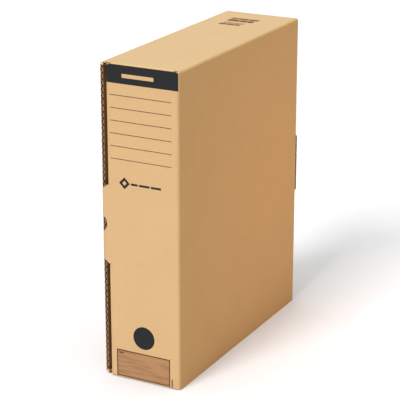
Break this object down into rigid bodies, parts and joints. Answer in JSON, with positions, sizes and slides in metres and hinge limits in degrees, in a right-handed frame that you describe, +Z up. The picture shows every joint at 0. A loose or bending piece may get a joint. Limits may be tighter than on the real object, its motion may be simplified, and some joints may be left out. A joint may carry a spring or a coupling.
{
  "type": "archival box",
  "caption": "Upright corrugated-board archive box: a wall sleeve with tucked closure panels front and back, dust flaps, and a ruled, printed spine.",
  "frame": {"origin": "middle of the base, on the surface that the box stands on", "axes": "+Z up, the spine panel faces -Y, the wall that carries the spine panel is at +X"},
  "size_m": [0.087, 0.27, 0.325],
  "materials": {
    "outer_kraft": "matte",
    "printed_spine": "matte",
    "inner_kraft": "matte",
    "fluted_medium": "matte"
  },
  "bodies": {
    "sleeve": {"right_wall_outer_liner": "outer_kraft", "right_wall_flutes": "fluted_medium", "right_wall_inner_liner": "inner_kraft", "top_wall_outer_liner": "outer_kraft", "top_wall_flutes": "fluted_medium", "top_wall_inner_liner": "inner_kraft", "left_wall_outer_liner": "outer_kraft", "left_wall_flutes": "fluted_medium", "left_wall_inner_liner": "inner_kraft", "base_wall_outer_liner": "outer_kraft", "base_wall_flutes": "fluted_medium", "base_wall_inner_liner": "inner_kraft", "glue_flap_outer_liner": "outer_kraft", "glue_flap_flutes": "fluted_medium", "glue_flap_inner_liner": "inner_kraft"},
    "spine_closure": {"spine_panel_outer_liner": "printed_spine", "spine_panel_flutes": "fluted_medium", "spine_panel_inner_liner": "inner_kraft"},
    "spine_tuck": {"spine_tuck_flap_outer_liner": "outer_kraft", "spine_tuck_flap_flutes": "fluted_medium", "spine_tuck_flap_inner_liner": "inner_kraft"},
    "back_closure": {"back_panel_outer_liner": "outer_kraft", "back_panel_flutes": "fluted_medium", "back_panel_inner_liner": "inner_kraft"},
    "back_tuck": {"back_tuck_flap_outer_liner": "outer_kraft", "back_tuck_flap_flutes": "fluted_medium", "back_tuck_flap_inner_liner": "inner_kraft"},
    "front_upper_flap": {"front_upper_dust_flap_outer_liner": "outer_kraft", "front_upper_dust_flap_flutes": "fluted_medium", "front_upper_dust_flap_inner_liner": "inner_kraft"},
    "front_lower_flap": {"front_lower_dust_flap_outer_liner": "outer_kraft", "front_lower_dust_flap_flutes": "fluted_medium", "front_lower_dust_flap_inner_liner": "inner_kraft"},
    "back_upper_flap": {"back_upper_dust_flap_outer_liner": "outer_kraft", "back_upper_dust_flap_flutes": "fluted_medium", "back_upper_dust_flap_inner_liner": "inner_kraft"},
    "back_lower_flap": {"back_lower_dust_flap_outer_liner": "outer_kraft", "back_lower_dust_flap_flutes": "fluted_medium", "back_lower_dust_flap_inner_liner": "inner_kraft"}
  },
  "joints": [
    {"name": "spine_closure_hinge", "type": "hinge", "parent": "sleeve", "child": "spine_closure", "pos_m": [0.04262, -0.13412, 0.1625], "axis": [0, 0, 1], "range_deg": [0, 110]},
    {"name": "spine_tuck_crease", "type": "hinge", "parent": "spine_closure", "child": "spine_tuck", "pos_m": [-0.033, -0.132, 0.1625], "axis": [0, 0, 1], "range_deg": [-79.2, 0]},
    {"name": "back_closure_hinge", "type": "hinge", "parent": "sleeve", "child": "back_closure", "pos_m": [-0.04262, 0.13412, 0.1625], "axis": [0, 0, 1], "range_deg": [0, 110]},
    {"name": "back_tuck_crease", "type": "hinge", "parent": "back_closure", "child": "back_tuck", "pos_m": [0.033, 0.132, 0.1625], "axis": [0, 0, 1], "range_deg": [-79.2, 0]},
    {"name": "front_upper_flap_crease", "type": "hinge", "parent": "sleeve", "child": "front_upper_flap", "pos_m": [0, -0.1287, 0.322], "axis": [1, 0, 0], "range_deg": [0, 75]},
    {"name": "front_lower_flap_crease", "type": "hinge", "parent": "sleeve", "child": "front_lower_flap", "pos_m": [0, -0.1287, 0.003], "axis": [-1, 0, 0], "range_deg": [0, 75]},
    {"name": "back_upper_flap_crease", "type": "hinge", "parent": "sleeve", "child": "back_upper_flap", "pos_m": [0, 0.1287, 0.322], "axis": [-1, 0, 0], "range_deg": [0, 75]},
    {"name": "back_lower_flap_crease", "type": "hinge", "parent": "sleeve", "child": "back_lower_flap", "pos_m": [0, 0.1287, 0.003], "axis": [1, 0, 0], "range_deg": [0, 75]}
  ],
  "couplings": [
    {"joint": "spine_tuck_crease", "follows": "spine_closure_hinge", "ratio": -0.72},
    {"joint": "back_tuck_crease", "follows": "back_closure_hinge", "ratio": -0.72}
  ]
}
